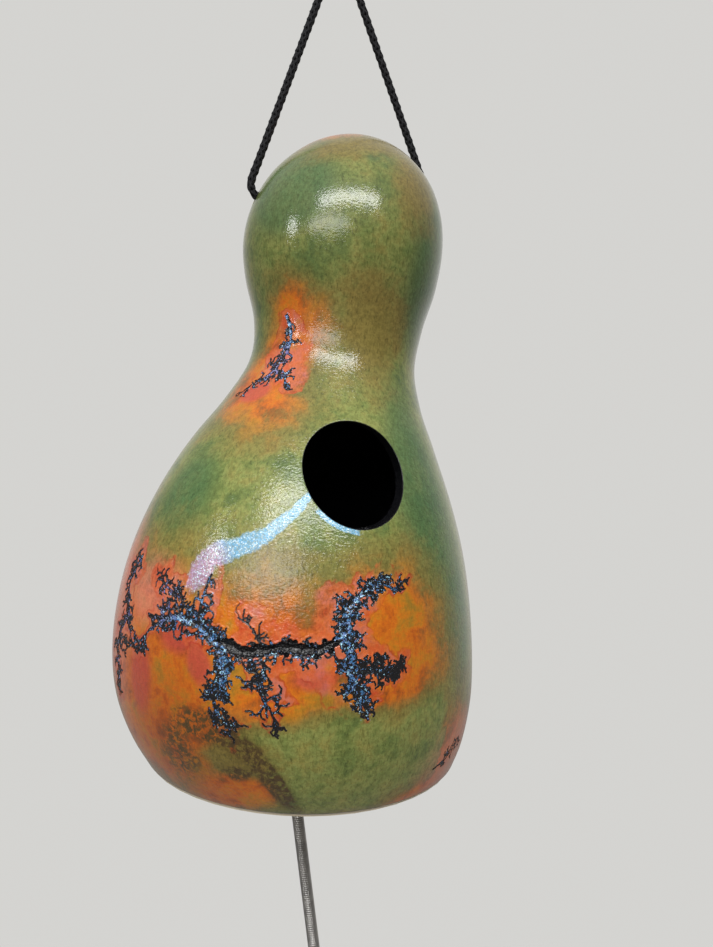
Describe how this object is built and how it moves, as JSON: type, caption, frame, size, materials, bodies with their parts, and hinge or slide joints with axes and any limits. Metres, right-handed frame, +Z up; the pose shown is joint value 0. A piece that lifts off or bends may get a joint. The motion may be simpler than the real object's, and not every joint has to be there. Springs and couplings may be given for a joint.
{
  "type": "thunder gourd",
  "caption": "Hollow bottle gourd with a round sound hole, a head over its sawn base and a long coil spring hanging from it, on a cord loop.",
  "frame": {"origin": "the point where the cord's loop bears on the hook that carries it", "axes": "+Z up and square to the sawn base, +X along the line through the two cord holes, and the sound hole faces -Y"},
  "size_m": [0.1745, 0.174, 0.6453],
  "materials": {
    "dyed_gourd": "gloss varnish over green and orange dye",
    "head_film": "satin film",
    "washer_steel": "plain",
    "pin_steel": "plain",
    "spring_steel": "drawn grey wire",
    "black_cord": "braided"
  },
  "bodies": {
    "cord_loop": {"hanging_cord": "black_cord", "knot_left": "black_cord", "knot_right": "black_cord"},
    "gourd": {"gourd_shell": "dyed_gourd", "drum_head": "head_film", "head_washer": "washer_steel"},
    "pin": {"spring_pin": "pin_steel"},
    "spring": {"spring": "spring_steel"}
  },
  "joints": [
    {"name": "gourd_rock", "type": "hinge", "parent": "cord_loop", "child": "gourd", "pos_m": [0, 0, -0.122], "axis": [1, 0, 0], "range_deg": [-30, 30]},
    {"name": "spring_swing", "type": "hinge", "parent": "gourd", "child": "pin", "pos_m": [-0.00696, 0, -0.3853], "axis": [0, 1, 0], "range_deg": [-10, 30], "stiffness_Nm_per_rad": 0.02, "springref_deg": -4.69},
    {"name": "spring_rock", "type": "hinge", "parent": "pin", "child": "spring", "pos_m": [-0.00696, 0, -0.3853], "axis": [1, 0, 0], "range_deg": [-15, 15], "stiffness_Nm_per_rad": 0.02}
  ]
}
